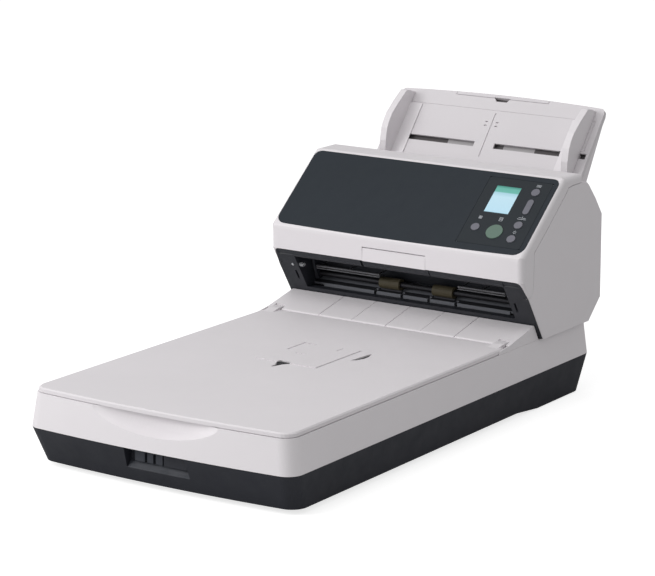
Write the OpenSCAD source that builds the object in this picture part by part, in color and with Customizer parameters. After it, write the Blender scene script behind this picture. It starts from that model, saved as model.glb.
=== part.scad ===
// Desktop document scanner: a sheet feeder with a full width control panel
// standing on the rear of a flatbed base, with a hinged flatbed lid in front.
// X runs to the right, Y to the back and Z up; Z = 0 is the table.

/* [Base] */
// width of the case at its colour seam
base_width = 300; // [290:1:310]
// depth of the case
base_depth = 564; // [550:1:580]
// height of the seam between the dark and the light case
seam_z = 40; // [36:0.5:46]
// height of the upper case's top
rim_z = 73.3; // [70:0.1:78]
// clearance under the front half of the lower case
belly_z = 5.2; // [4:0.1:8]
// wall thickness of the base shells
case_wall = 2.5; // [2:0.1:4]
// plan radius of the case corners
corner_r = 16; // [10:1:24]
// forward bow of the front edge
front_bow = 6.9; // [0:0.1:12]

/* [Flatbed] */
// half width of the lid
lid_half = 144; // [138:0.5:146]
// thickness of the lid's edge
lid_thick = 4.4; // [4:0.1:7]
// rear edge of the lid
lid_rear_y = 114.6; // [110:0.1:118]
// glass width
glass_w = 220; // [216:1:230]
// glass length
glass_l = 304; // [297:1:360]
// lid opening angle the hinge is shaped for
lid_open = 80; // [60:1:85]

/* [Feeder] */
// half width of the feeder over its side covers
adf_half = 150; // [140:0.5:155]
// thickness of the outer covers
cover_wall = 2.4; // [2:0.1:4]
// half width of the sheet throat
throat_half = 125; // [115:0.5:130]
// front edge of the control panel slope, distance back
panel_y0 = 131.2; // [125:0.1:140]
// height of the bottom of the control panel slope
panel_z0 = 166.9; // [160:0.1:172]
// top edge of the control panel slope, distance back
panel_y1 = 210.5; // [200:0.1:220]
// height of the top of the control panel slope
panel_z1 = 230.9; // [225:0.1:240]
// distance back of the front cover's pivot
pivot_y = 143; // [140:0.1:146]
// height of the front cover's pivot
pivot_z = 131; // [128:0.1:136]
// radius of the front cover's pivot ears
ear_r = 8.8; // [8:0.1:9]

/* [Chute] */
// angle of the paper chute from level
chute_deg = 50; // [45:1:60]
// distance back of the chute face where it passes its reference height
chute_y = 297.9; // [290:0.1:305]
// reference height of the chute face
chute_z = 225; // [220:1:230]
// half width of the chute at its top
chute_top_half = 123; // [118:0.5:128]
// half width of the chute at its foot
chute_foot_half = 133; // [128:0.5:138]
// thickness of the chute board
chute_thick = 5; // [5:0.5:8]
// inner face of each side guide from the centre, at rest
guide_half = 106.5; // [100:0.5:110]

/* [Rollers] */
// radius of the large feed rollers
feed_r = 9; // [7:0.5:11]
// radius of the small rollers
idler_r = 6; // [4:0.5:8]
// radius of the roller shafts
shaft_r = 3; // [2:0.5:4]

/* [Hidden] */
$fn = 48;
e = 0.01;
run = 0.05;
hw = base_width / 2;
yb = base_depth / 2;
lid_z0 = rim_z + 0.6;
lid_z1 = lid_z0 + lid_thick;
deck_z = rim_z - 2.8;
hinge_y = 121;
hinge_z = 77;
pan_deg = atan2(panel_z1 - panel_z0, panel_y1 - panel_y0);
pan_len = norm([panel_z1 - panel_z0, panel_y1 - panel_y0]);
white = [0.86, 0.85, 0.85];
dark = [0.17, 0.18, 0.20];
slate = [0.20, 0.24, 0.28];
steel = [0.72, 0.73, 0.75];
amber = [0.72, 0.62, 0.38];
grey = [0.50, 0.51, 0.54];

// piece to draw, or all

// ---- shared shapes ----

// closed outline with four rounded corners and a bowed front edge
function plan(w, yf, yr, r, da) =
    let (x1 = w - r, sag = function(x) front_bow * pow(x / hw, 2))
    concat(
        [for (i = [0:20]) let (x = x1 * (i / 10 - 1)) [x, yf + sag(x)]],
        [for (a = [da - 90:da:0]) [x1 + r * cos(a), yf + sag(x1) + r + r * sin(a)]],
        [for (a = [0:da:90]) [x1 + r * cos(a), yr - r + r * sin(a)]],
        [for (a = [90:da:180]) [-x1 + r * cos(a), yr - r + r * sin(a)]],
        [for (a = [180:da:270 - da]) [-x1 + r * cos(a), yf + sag(x1) + r + r * sin(a)]]);

module slab(z, w, yf, yr, r = corner_r, da = 7.5) {
    translate([0, 0, z])
        linear_extrude(e)
            polygon(plan(w, yf, yr, r, da));
}

// dark half of the case, narrowing downwards, set in by d and lifted by u
module lower_body(d, u, top) {
    intersection() {
        hull() {
            slab(top - e, hw - d, -yb + d, yb - d);
            slab(0, hw - 6.4 - d, -yb + 17.8 + d, yb - 9.6 - d);
        }
        side_prism([[-yb - 1, belly_z + u], [134, belly_z + u], [178, 0.8 + u],
            [yb + 1, 0.8 + u], [yb + 1, top + 1], [-yb - 1, top + 1]], hw + 1);
    }
}

// light half of the case, narrowing upwards, set in by d
module upper_body(d, z0, z1) {
    hull() {
        slab(z0, hw - d, -yb + d, yb - d);
        slab(z1 - e, hw - 4.5 - d, -yb + 3.5 + d, yb - 1 - d);
    }
}

// prism along X from an outline in Y and Z
module side_prism(pts, half, x0 = undef) {
    x = is_undef(x0) ? -half : x0;
    translate([x, 0, 0])
        rotate([90, 0, 90])
            linear_extrude(is_undef(x0) ? 2 * half : half)
                polygon(pts);
}

module rod(y, z, x0, x1, r) {
    translate([x0, y, z])
        rotate([0, 90, 0])
            cylinder(h = x1 - x0, r = r);
}

// to the control panel's own plane: X across, Y up the slope, Z outwards
module on_panel(x = 0, t = 0, n = 0) {
    translate([0, panel_y0, panel_z0])
        rotate([pan_deg, 0, 0])
            translate([x, t, n])
                children();
}

// to the chute's own plane: X across, Y up the chute, Z towards the paper
module on_chute() {
    translate([0, chute_y, chute_z])
        rotate([chute_deg, 0, 0])
            children();
}

module rounded(x0, y0, x1, y1, r) {
    hull()
        for (x = [x0 + r, x1 - r])
            for (y = [y0 + r, y1 - r])
                translate([x, y])
                    circle(r, $fn = 32);
}

// ---- base ----

module lower_case() {
    color(dark)
        union() {
            difference() {
                union() {
                    difference() {
                        lower_body(0, 0, seam_z - 0.15);
                        lower_body(case_wall, case_wall, seam_z + 1);
                    }
                    intersection() {
                        lower_body(0.5, 0.5, seam_z - 0.15);
                        union() {
                            lock_recess(2);
                            for (x = [-118, 118])
                                for (y = [-240, 100, 258])
                                    translate([x, y, 0])
                                        cylinder(h = seam_z, r = 4);
                        }
                    }
                }
                lock_recess(0);
                translate([0, 0, belly_z - 1])
                    cylinder(h = 2, r = 9);
                for (x = [-105, 105]) {
                    translate([x, -232, belly_z - 1])
                        cylinder(h = 2, r = 9);
                    translate([x, 226, -1])
                        cylinder(h = 2.9, r = 9);
                }
                for (x = [-118, 118])
                    for (y = [-240, 100, 258])
                        translate([x, y, -1])
                            cylinder(h = 13, r = 2.6);
                for (x = [-60:8:60])
                    translate([x - 2, 30, -1])
                        cube([4, 60, 12]);
            }
            translate([8, -yb + 8.5, 27])
                cube([25.5, 6.5, seam_z - 0.15 - 27]);
        }
}

// recess for the transport lock, with a sloping sill; grows by g for its walls
module lock_recess(g) {
    intersection() {
        side_prism([[-yb - 9, 19 - g], [-yb + 9.4, 19 - g], [-yb + 14 + g, 26 - g],
            [-yb + 14 + g, seam_z + 2], [-yb - 9, seam_z + 2]], 50);
        translate([0, -yb + 30, 0])
            rotate([90, 0, 0])
                linear_extrude(60)
                    polygon([[-34.5 - g, 19 - g], [36.5 + g, 19 - g], [36 + g, seam_z + 3],
                        [-31 - g, seam_z + 3]]);
    }
}

module upper_case() {
    open_y0 = -262;
    open_y1 = open_y0 + glass_l + 60;
    color(white)
        difference() {
            union() {
                difference() {
                    upper_body(0, seam_z + 0.15, rim_z);
                    upper_body(case_wall, seam_z - 1, rim_z - case_wall);
                }
                intersection() {
                    upper_body(0.6, seam_z + 0.15, rim_z);
                    translate([-84, -yb - 1, 50])
                        cube([168, 20, rim_z - 50]);
                }
                intersection() {
                    upper_body(1, seam_z + 0.15, rim_z - 1);
                    translate([-hw, -yb, deck_z - 3])
                        cube([base_width, 396, 3.5]);
                }
            }
            // well for the glass and the lid pad
            translate([-134, -264, deck_z])
                cube([268, 370, 10]);
            translate([-glass_w / 2, -236, deck_z - 8])
                cube([glass_w, glass_l, 20]);
            // finger scoop in the front
            translate([0, -yb - 6, 74.4])
                rotate([0, 90, 0])
                    rotate_extrude($fn = 96)
                        polygon(concat([for (i = [-20:20]) let (x = i * 4.4)
                            [21.6 - x * x / 472, x]], [[0, 88], [0, -88]]));
            // cable passage up into the feeder
            translate([-40, 225, rim_z - 6])
                cube([80, 24, 10]);
            // rear openings for the two connectors
            translate([-101, yb - 6, 46])
                cube([22.2, 12, 14.2]);
            translate([-61, yb - 6, 46])
                cube([14.2, 12, 12.2]);
        }
}

module platen_glass() {
    color([0.75, 0.82, 0.84, 0.5])
        translate([-glass_w / 2 + 0.1, -235.9, deck_z - 3])
            cube([glass_w - 0.2, glass_l - 0.2, 3]);
}

module rubber_feet() {
    color([0.1, 0.1, 0.1]) {
        cylinder(h = belly_z + 0.95, r = 8.9);
        for (x = [-105, 105]) {
            translate([x, -232, 0])
                cylinder(h = belly_z + 0.95, r = 8.9);
            translate([x, 226, 0])
                cylinder(h = 1.85, r = 8.9);
        }
    }
}

module case_screws() {
    color(steel)
        for (x = [-118, 118])
            for (y = [-240, 100, 258])
                translate([x, y, 8.5])
                    difference() {
                        cylinder(h = 2.9, r = 2.5);
                        translate([-1.8, -0.3, -e])
                            cube([3.6, 0.6, 1]);
                        translate([-0.3, -1.8, -e])
                            cube([0.6, 3.6, 1]);
                    }
}

module stacker_ramp() {
    rise = atan2(9.8, 46);
    color(white)
        union() {
            ramp_block(rise);
            // tongues reaching forward beside the lid
            for (x = [-lid_half - 1.2, lid_half + 0.3])
                translate([x, 0, 0])
                    side_prism([[95, rim_z + 0.1], [96.4, 76.9], [118, 79.5],
                        [118, rim_z + 0.1]], 0.9, 0);
        }
}

module ramp_block(rise) {
    difference() {
        side_prism([[115.4, rim_z + 0.1], [115.4, 78.2], [116.4, 79.1], [118, 79.6],
            [163.9, 89.4], [slant(rim_z) - 1.2, rim_z + 0.1]], lid_half + 1.2);
        side_prism([[121, rim_z], [121, 77], [161, 85.6], [161, rim_z]], lid_half - 23);
        for (x = [-81, 0, 81])
            ramp_groove(x, rise, 1.1, 1);
        for (x = [-41, 41])
            ramp_groove(x, rise, 0.4, 0.7);
        for (s = [-1, 1]) {
            translate([s * 134 - 6.4, 110, rim_z - 1])
                cube([12.8, 16, 20]);
            rod(hinge_y, hinge_z, s * 134 - 9.3, s * 134 + 9.3, 1.5 + run);
        }
    }
}

module ramp_groove(x, rise, depth, wide) {
    translate([x - wide / 2, 114, 78.7 - depth])
        rotate([rise, 0, 0])
            cube([wide, 60, 4]);
}

module carriage_rod() {
    color(steel)
        union() {
            translate([0, -258, 54])
                rotate([-90, 0, 0])
                    cylinder(h = 350, r = 4);
            for (y = [-262, 86])
                translate([-7, y, belly_z + case_wall + 0.1])
                    cube([14, 6, 52]);
        }
}

module carriage_motor() {
    color(grey)
        union() {
            translate([60, 92, 34])
                cylinder(h = 22, r = 16);
            for (y = [-248, 92])
                translate([60, y, belly_z + case_wall + 0.1])
                    cylinder(h = 56, r = 5.8);
        }
}

module carriage_belt() {
    color([0.12, 0.12, 0.12])
        translate([60, 0, 58])
            linear_extrude(5)
                difference() {
                    hull() {
                        translate([0, -248])
                            circle(7.2);
                        translate([0, 92])
                            circle(7.2);
                    }
                    hull() {
                        translate([0, -248])
                            circle(5.9);
                        translate([0, 92])
                            circle(5.9);
                    }
                }
}

module main_board() {
    color([0.10, 0.32, 0.20])
        union() {
            translate([-110, 150, 30])
                cube([200, 110, 1.6]);
            for (x = [-90:36:60])
                translate([x, 180, 31.6])
                    cube([20, 20, 3]);
            for (x = [-100, 80])
                for (y = [184, 254])
                    translate([x, y, 3.4])
                        cylinder(h = 26.6, r = 3);
        }
}

module power_inlet() {
    color([0.08, 0.08, 0.08])
        difference() {
            translate([-100.9, yb - 16, 46.1])
                cube([22, 15, 14]);
            translate([-89.9, yb - 12, 53.1])
                rotate([-90, 0, 0])
                    cylinder(h = 20, r = 4.5);
        }
}

module data_port() {
    color(steel)
        difference() {
            translate([-60.9, yb - 16, 46.1])
                cube([14, 15, 12]);
            translate([-58.4, yb - 10, 48.1])
                cube([9, 20, 8]);
        }
}

module lid_hinge_pins() {
    color(steel)
        for (s = [-1, 1])
            rod(hinge_y, hinge_z, s * 134 - 9.2, s * 134 + 9.2, 1.5);
}

module scan_carriage() {
    color(dark)
        difference() {
            union() {
                translate([-114, -236, 46])
                    cube([228, 34, 17.5]);
                translate([-9, -236, 45])
                    cube([18, 34, 10]);
            }
            translate([0, -240, 54])
                rotate([-90, 0, 0])
                    cylinder(h = 50, r = 4 + run);
            translate([-112, -222, 61])
                cube([224, 8, 5]);
            translate([50, -240, 53])
                cube([20, 44, 20]);
        }
}

module carriage_window() {
    color([0.8, 0.85, 0.85, 0.6])
        difference() {
            translate([-111.9, -221.9, 61.1])
                cube([223.8, 7.8, 2.3]);
            translate([49.5, -223, 60])
                cube([21, 10, 5]);
        }
}

module transport_lock() {
    color(dark)
        difference() {
            translate([-24.5, -yb + 8.5, 27.4])
                cube([31, 5.4, 10.8]);
            for (x = [-13.6, -4])
                translate([x, -yb + 7, 26])
                    cube([3, 5, 14]);
        }
}

// ---- flatbed lid ----

module flatbed_lid() {
    color(white)
        difference() {
            union() {
                hull() {
                    slab(lid_z0, lid_half, -yb + 5, lid_rear_y, 14, 15);
                    slab(lid_z1 - 1.2, lid_half, -yb + 5, lid_rear_y, 14, 15);
                    slab(lid_z1 - e, lid_half - 1.4, -yb + 6.4, lid_rear_y - 1, 14, 15);
                }
                for (s = [-1, 1])
                    translate([s * 134 - 5.9, 100, lid_z0])
                        difference() {
                            side_prism([[0, 1], [0, 4.2], [12, 6.6], [23, 6.6],
                                [24.4, 5], [24, 2.2], [22, 0.2], [13, 0.2]], 11.8, 0);
                            translate([-1, hinge_y - 100, hinge_z - lid_z0])
                                rotate([0, 90, 0])
                                    cylinder(h = 14, r = 1.5 + run);
                        }
            }
            // underside pocket
            translate([-130, -262, lid_z0 - 1])
                cube([260, 356, lid_thick - 1.3]);
            // recess of the sheet stopper and the bores of its pivot
            translate([-35.3, -66.3, lid_z1 - 1.6])
                cube([70.6, 82.6, 4]);
            rod(14.5, lid_z1 - 0.75, -36.5, 36.5, 0.55);
            translate([0, 0, lid_z1 - 1.4])
                linear_extrude(4)
                    polygon([[46.2, -22], [47.4, -8], [48.8, 10.5], [50.4, 11], [53.4, 0],
                        [53.6, -8], [50.6, -18]]);
            translate([0, 0, lid_z1 - 1.4])
                linear_extrude(4)
                    polygon([[-9.6, -66], [5.4, -66], [0.6, -73], [-2.4, -84], [-4.6, -84],
                        [-5, -76]]);
        }
}

module lid_pad() {
    color([0.93, 0.93, 0.92])
        translate([-128, -258, deck_z + 0.4])
            cube([256, 348, lid_z1 - 2.35 - deck_z - 0.4]);
}

module stopper() {
    color(white)
        difference() {
            union() {
                translate([-35, -66, lid_z1 - 1.5])
                    cube([70, 80.5, 2.2]);
                rod(14.5, lid_z1 - 0.75, -34.9, 34.9, 0.75);
                rod(14.5, lid_z1 - 0.75, -36.1, 36.1, 0.5);
            }
            translate([-28.2, -21, lid_z1 - 0.6])
                cube([2, 33, 2]);
            translate([-12.4, -29.9, lid_z1 - 0.6])
                cube([11, 2, 2]);
            translate([-22.6, 8.4, lid_z1 - 0.6])
                cube([10, 2.2, 2]);
            translate([16.2, -1, lid_z1 - 0.7])
                cube([0.9, 12, 2]);
            translate([0, 0, lid_z1 - 2])
                linear_extrude(4)
                    polygon([[-9.6, -67], [-8.2, -61], [4.6, -61.6], [5.4, -67]]);
        }
}

// ---- feeder, fixed part ----

// middle of the curved end of the sheet path, and its radius
path_y = 147;
path_z = 181;
path_r = 87.3;
tyre_x = 32;
tyre_w = 24;

// point on the curved end of the sheet path, o above it
function bend(a, o) = [path_y + (path_r - o) * sin(a), path_z - (path_r - o) * cos(a)];

// point on the straight part of the sheet path, s up the chute, o above it
function ramp(s, o) = [chute_y + s * cos(chute_deg) - o * sin(chute_deg),
    chute_z + s * sin(chute_deg) + o * cos(chute_deg)];

// slanting front edge of the feeder's sides
lean = 0.6804;
function slant(z) = 130 + (139.4 - z) * lean;

feed_c = ramp(-97.8, 0.8 - feed_r);
pick_c = ramp(-71.8, 0.8 - feed_r);
eject_c = bend(23, 0.8 - idler_r);
brake_c = ramp(-97.8, 8.9);
idler_c = bend(23, 0.9 + idler_r);
motor_c = [228, 98];

module adf_frame() {
    color(dark)
        difference() {
            union() {
                for (s = [-1, 1]) {
                    // cheeks beside the throat
                    translate([s > 0 ? throat_half : -147.3, 0, 0])
                        side_prism([[slant(74) + 0.6, 74], [slant(pivot_z) + 0.6, pivot_z],
                            [pivot_y, pivot_z], [152, pivot_z], [168, 112], [172, 96], [177, 74]],
                            147.3 - throat_half, 0);
                    intersection() {
                        rod(pivot_y, pivot_z, s > 0 ? throat_half : -147.3,
                            s > 0 ? 147.3 : -throat_half, 8);
                        side_prism([[slant(160) + 0.6, 160], [170, 160], [170, 110],
                            [slant(110) + 0.6, 110]], 148);
                    }
                    // flange in front of the side cover's edge
                    translate([s > 0 ? 147 : -148.8, 0, 0])
                        side_prism([[slant(74.2) + 0.6, 74.2], [slant(120.8) + 0.6, 120.8],
                            [slant(120.8) + 3.3, 120.8], [slant(74.2) + 3.3, 74.2]], 1.8, 0);
                    // bearing plates
                    translate([s > 0 ? throat_half : -throat_half - 3, 0, 0])
                        side_prism([[176, 74.2], [170, 96], [166, 112], [151.2, 131],
                            [151.2, 164], [177, 184.6], [226, 217.8], [262, 215], [270, 197],
                            [268, 189], [284, 187.5], [290, 178], [291, 98], [269, 77.4],
                            [249.6, 77], [249.6, 74.2]], 3, 0);
                }
                // sill and floor
                side_prism([[slant(74) + 0.6, 74], [slant(94.6) + 0.6, 94.6], [169.5, 95.4],
                    [172.4, 94.4], [172.4, 91], [170, 91], [179.5, 76.4], [249, 76.4],
                    [249, 74]], throat_half + 1);
            }
            for (c = [feed_c, pick_c, eject_c])
                rod(c[0], c[1], -140, 140, shaft_r + run);
            rod(motor_c[0], motor_c[1], 100, 140, 5.4);
            // room for the front cover's ears, and bores for its pivot pins
            rod(pivot_y, pivot_z, 143.9, 150, ear_r + 0.4);
            rod(pivot_y, pivot_z, -150, -143.9, ear_r + 0.4);
            rod(pivot_y, pivot_z, 134, 150, 3 + run);
            rod(pivot_y, pivot_z, -150, -134, 3 + run);
            translate([-40, 225, 70])
                cube([80, 24, 10]);
            for (x = [-132.2, 129.8])
                translate([x, 148, 100])
                    cube([2.4, 8, 14]);
        }
}

module cover_pivot_pins() {
    color(steel)
        for (s = [-1, 1])
            rod(pivot_y, pivot_z, s > 0 ? 134.2 : -148.4, s > 0 ? 148.4 : -134.2, 3);
}

module lower_guide() {
    color(grey)
        difference() {
            union() {
                side_prism(concat(
                    [for (a = [18:4:50]) bend(a, 0)],
                    [ramp(-38.6, 0), ramp(-38.6, -2.4)],
                    [for (a = [50:-4:18]) bend(a, -2.4)]), throat_half - 0.4);
                side_prism([[173.2, 91.4], [173.2, 97.2], [174, 98], [176.4, 98.4],
                    [176.4, 91.4]], 112);
            }
            for (x = [-48.5, -16.2, 16.2, 48.5])
                translate([x - 1.6, 170, 85])
                    cube([3.2, 8, 20]);
            for (x = [-tyre_x, tyre_x]) {
                for (c = [feed_c, pick_c])
                    rod(c[0], c[1], x - tyre_w / 2 - 0.6, x + tyre_w / 2 + 0.6, feed_r + 0.6);
                rod(eject_c[0], eject_c[1], x - tyre_w / 2 - 0.6, x + tyre_w / 2 + 0.6,
                    idler_r + 0.6);
            }
            rod(eject_c[0], eject_c[1], -130, 130, shaft_r + 0.4);
            on_chute()
                translate([-112, -126, -4])
                    cube([224, 12, 8]);
        }
}

module lower_window() {
    color([0.7, 0.8, 0.82, 0.5])
        on_chute()
            translate([-111.9, -125.9, -2.4])
                cube([223.8, 11.8, 2.3]);
}

module lower_sensor() {
    color([0.2, 0.2, 0.22])
        on_chute()
            difference() {
                translate([-114, -127, -14])
                    cube([228, 14, 11.5]);
                translate([-110, -122, -6])
                    cube([220, 4, 4]);
            }
}

// waste to take off a right hand edge at the origin to round it with radius r
module edge_cut(r, h) {
    difference() {
        translate([-r, -1, 0])
            cube([r + 1, r + 1, h]);
        translate([-r, r, -1])
            cylinder(h = h + 2, r = r);
    }
}

// rounding of the slanting front edge on the right, from height z up
module front_rounding(z) {
    translate([adf_half, slant(z), z])
        rotate([atan(lean), 0, 0])
            edge_cut(4, (139.9 - z) / cos(atan(lean)));
}

// fixed side cover, outer face at adf_half; s picks the side
module side_cover(s) {
    rim = [[263.5, 218.3], [279, 202], [293.7, 183.5], [295.6, 95.6], [271.4, 74]];
    difference() {
        union() {
            translate([s > 0 ? adf_half - cover_wall : -adf_half, 0, 0])
                side_prism(concat([[slant(pivot_z - 2), pivot_z - 2], [152.3, 131],
                    [152.3, 166.4], [177, 185.2], [216.8, 217.4], [219.8, 221.2],
                    [228.4, 222.4], [247, 222.6], [259, 221.6]],
                    rim, [[slant(74), 74]]), cover_wall, 0);
            // inward top and the wall beside the paper
            translate([s > 0 ? 134 : -adf_half + 1, 0, 0])
                side_prism([[227, 221.4], [237.5, 222.6], [259, 221.6], [263.5, 218.3],
                    [279, 202], [275.5, 201.5], [262, 215.8], [258, 219], [237.5, 220],
                    [228, 218.8]], 15, 0);
            translate([s > 0 ? 134 : -135.5, 0, 0])
                side_prism([[228, 221.2], [237.5, 222.6], [259, 221.6], [263.5, 218.3],
                    [279, 202], [272, 192], [246, 190], [230, 206]], 1.5, 0);
        }
        rod(pivot_y, pivot_z, -151, 151, ear_r + 0.3);
        mirror([s > 0 ? 0 : 1, 0, 0])
            front_rounding(72);
        translate([s > 0 ? 146 : -148.9, 0, 0])
            side_prism([[slant(73) - 1, 73], [slant(120.9) - 1, 120.9],
                [slant(120.9) + 3.4, 120.9], [slant(73) + 3.4, 73]], 2.9, 0);
    }
}

module side_cover_left() {
    color(white)
        side_cover(-1);
}

module side_cover_right() {
    color(white)
        side_cover(1);
}

module rear_cover() {
    color(white)
        difference() {
            side_prism([[250, 74.1], [271.4, 74.1], [295.6, 95.6], [293.7, 183.5],
                [284.6, 195.6], [282.6, 194.2], [291.3, 182.6], [293.2, 96.6],
                [270.5, 76.5], [250, 76.5]], adf_half - cover_wall - 0.1);
            for (x = [-60:10:60])
                translate([x - 2, 285, 105])
                    cube([4, 20, 40]);
        }
}

module adf_motor() {
    color(grey)
        union() {
            rod(motor_c[0], motor_c[1], 84, 124.6, 15);
            rod(motor_c[0], motor_c[1], 124, 138, 5);
            rod(motor_c[0], motor_c[1], 132, 137, 5.95);
            translate([90, 214, 76.5])
                cube([30, 28, 10]);
        }
}

// steel shaft with a drive pulley outside the right bearing plate
module drive_shaft(c, r) {
    rod(c[0], c[1], -127.8, 138, shaft_r);
    rod(c[0], c[1], 132, 137, r);
}

module tyres(c, r, w = tyre_w) {
    for (x = [-tyre_x, tyre_x])
        translate([x - w / 2, c[0], c[1]])
            rotate([0, 90, 0])
                difference() {
                    cylinder(h = w, r = r);
                    translate([0, 0, -1])
                        cylinder(h = w + 2, r = shaft_r + 0.02);
                }
}

module feed_shaft() {
    color(steel)
        drive_shaft(feed_c, 7.5);
}

module feed_roller() {
    color([0.25, 0.25, 0.27])
        tyres(feed_c, feed_r);
}

module pick_shaft() {
    color(steel)
        drive_shaft(pick_c, 7.5);
}

module pick_roller() {
    color([0.25, 0.25, 0.27])
        tyres(pick_c, feed_r);
}

module eject_shaft() {
    color(steel)
        drive_shaft(eject_c, 5);
}

module eject_roller() {
    color([0.25, 0.25, 0.27])
        tyres(eject_c, idler_r);
}

module belt_hull(g) {
    hull() {
        for (c = [feed_c, pick_c])
            translate([c[0], c[1]])
                circle(7.5 + g);
        translate([eject_c[0], eject_c[1]])
            circle(5 + g);
        translate([motor_c[0], motor_c[1]])
            circle(5.95 + g);
    }
}

module drive_belt() {
    color([0.1, 0.1, 0.1])
        translate([132.4, 0, 0])
            rotate([90, 0, 90])
                linear_extrude(4.2)
                    difference() {
                        belt_hull(1.3);
                        belt_hull(0.1);
                    }
}

// ---- feeder, front cover ----

top_line = [[210.5, 230.9], [213, 232.3], [216.6, 232.4], [246.4, 231.8], [249.8, 230.6],
    [251.2, 227.6], [251.2, 223.2]];
foot_line = [[129.5, 139.4], [128.4, 161], [128.5, 163.8], [128.94, 165.07]];

// outline of the control panel across and up its slope, grown by g
function panel_pts(g) = let (w = 146.5 + g, t1 = 101.6 + g, ra = 8, rb = 12)
    concat(
        [for (i = [-10:10]) let (x = i / 10 * (w - rb)) [x, -2.2 - g + 2.2 * pow(x / w, 2)]],
        [for (a = [-75:15:0]) [w - rb + rb * cos(a), -0.4 - g + rb + rb * sin(a)]],
        [for (a = [0:15:90]) [w - ra + ra * cos(a), t1 - ra + ra * sin(a)]],
        [for (a = [90:15:180]) [-w + ra + ra * cos(a), t1 - ra + ra * sin(a)]],
        [for (a = [180:15:255]) [-w + rb + rb * cos(a), -0.4 - g + rb + rb * sin(a)]]);

// pivot ear seen from the front: wide at the cover, tapering downwards
ear_face = [[141.2, 141], [141.4, 139.3], [144.4, 138.4], [146.2, 136.8], [147.2, 133.6],
    [148, 128.5], [148.8, 121], [152, 121], [152, 141]];

module front_cover() {
    color(white)
        difference() {
            union() {
                // skin
                side_prism(concat(foot_line, top_line, [[249, 223.2], [248.6, 227.4],
                    [245.6, 229.4], [213.6, 229.9], [211.8, 228.8], [131.2, 163.6],
                    [131.9, 141.8], [141, 141.8], [141, 139.4]]), adf_half);
                // hopper's front wall
                side_prism([[249.6, 229], [251.2, 226], [251, 222], [245.4, 177.4],
                    [243.2, 177.4], [248.6, 222], [248.6, 226]], throat_half - 1);
                for (s = [-1, 1]) {
                    // ends and pivot ears
                    translate([s > 0 ? adf_half - cover_wall : -adf_half, 0, 0])
                        side_prism(concat(foot_line, top_line, [[228.4, 223.1],
                            [219.4, 221.9], [216.4, 218.1], [176.8, 186],
                            [151.8, 167], [151.8, pivot_z], [pivot_y, pivot_z],
                            [slant(125.4) + 0.9, 125.4], [slant(138.8), 138.8]]), cover_wall, 0);
                    intersection() {
                        rod(pivot_y, pivot_z, s > 0 ? 144.3 : -adf_half,
                            s > 0 ? adf_half : -144.3, ear_r);
                        side_prism([[slant(160) + 3.3, 160], [160, 160], [160, 110],
                            [slant(110) + 3.3, 110]], adf_half + 1);
                    }
                    // narrow rim of the ear, and a web round the throat's corner
                    intersection() {
                        union() {
                            rod(pivot_y, pivot_z, s > 0 ? 147 : -adf_half,
                                s > 0 ? adf_half : -147, ear_r);
                            side_prism([[slant(133.8), 133.8], [slant(139.5), 139.5],
                                [slant(139.5) + 2.4, 139.5], [slant(133.8) + 2.4, 133.8]],
                                147.8);
                        }
                        side_prism([[slant(160), 160], [160, 160], [160, 110], [slant(110), 110]],
                            adf_half + 1);
                        translate([0, 170, 0])
                            rotate([90, 0, 0])
                                linear_extrude(60)
                                    polygon([for (p = ear_face) [s * p[0], p[1]]]);
                    }
                    // bosses of the release tab
                    translate([s * 39.4 - 1.6, 129.9, 150.4])
                        cube([3.2, 3.8, 4.4]);
                }
            }
            rod(pivot_y, pivot_z, 140, 148.6, 3 + run);
            rod(pivot_y, pivot_z, -148.6, -140, 3 + run);
            for (s = [0, 1])
                mirror([s, 0, 0]) {
                    translate([adf_half, 129.5, 139.4])
                        rotate([2.9, 0, 0])
                            edge_cut(6.5, 33);
                    front_rounding(118);
                    on_panel(adf_half, 104, 0)
                        rotate([90, 0, 0])
                            mirror([0, 1, 0])
                                edge_cut(5, 116);
                    translate([adf_half, 256, 232.2])
                        rotate([90, 0, 0])
                            mirror([0, 1, 0])
                                edge_cut(5, 45);
                    translate([adf_half, 251.2, 222])
                        mirror([0, 1, 0])
                            edge_cut(5.5, 12);
                }
            on_panel(0, 0, -1.7)
                linear_extrude(5)
                    polygon(panel_pts(0.2));
            on_panel(72, 11, -8)
                cube([65, 81, 10]);
            translate([-37.7, 120, 130])
                cube([75.4, 13, 23.9]);
            rod(131.6, 152.2, -40.6, 40.6, 0.95);
        }
}

module panel_bezel() {
    color(slate)
        difference() {
            on_panel(0, 0, -1.6)
                linear_extrude(1.6)
                    polygon(panel_pts(0));
            on_panel(67.9, 7.2, -3)
                cube([73.2, 88.4, 6]);
        }
}

// the five round keys: across, up the slope, radius
keys = [[126.4, 81.4, 4.6], [81.1, 28.4, 4.6], [104.5, 25.4, 8.9], [126.4, 37.4, 4.6],
    [126.4, 19.1, 4.6]];
rocker_x = 126.7;
rocker_t = 61.8;

module key_plate() {
    color([0.18, 0.21, 0.25])
        difference() {
            union() {
                on_panel(0, 0, -1.6)
                    linear_extrude(1.6)
                        rounded(68.2, 7.5, 140.8, 95.3, 2);
                for (x = [rocker_x - 5.6, rocker_x + 4])
                    on_panel(x, rocker_t - 2, -3.6)
                        cube([1.6, 4, 2.2]);
            }
            for (k = keys)
                on_panel(k[0], k[1], -3)
                    cylinder(h = 6, r = k[2] + 0.3);
            on_panel(0, 0, -3.8)
                linear_extrude(8)
                    rounded(rocker_x - 3.7, rocker_t - 10.2, rocker_x + 3.7, rocker_t + 10.2, 3.6);
            on_panel(rocker_x - 6, rocker_t, -2.5)
                rotate([0, 90, 0])
                    cylinder(h = 12, r = 0.8 + run);
            on_panel(80.9, 49.7, -3)
                cube([27.9, 35.4, 6]);
        }
}

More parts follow.
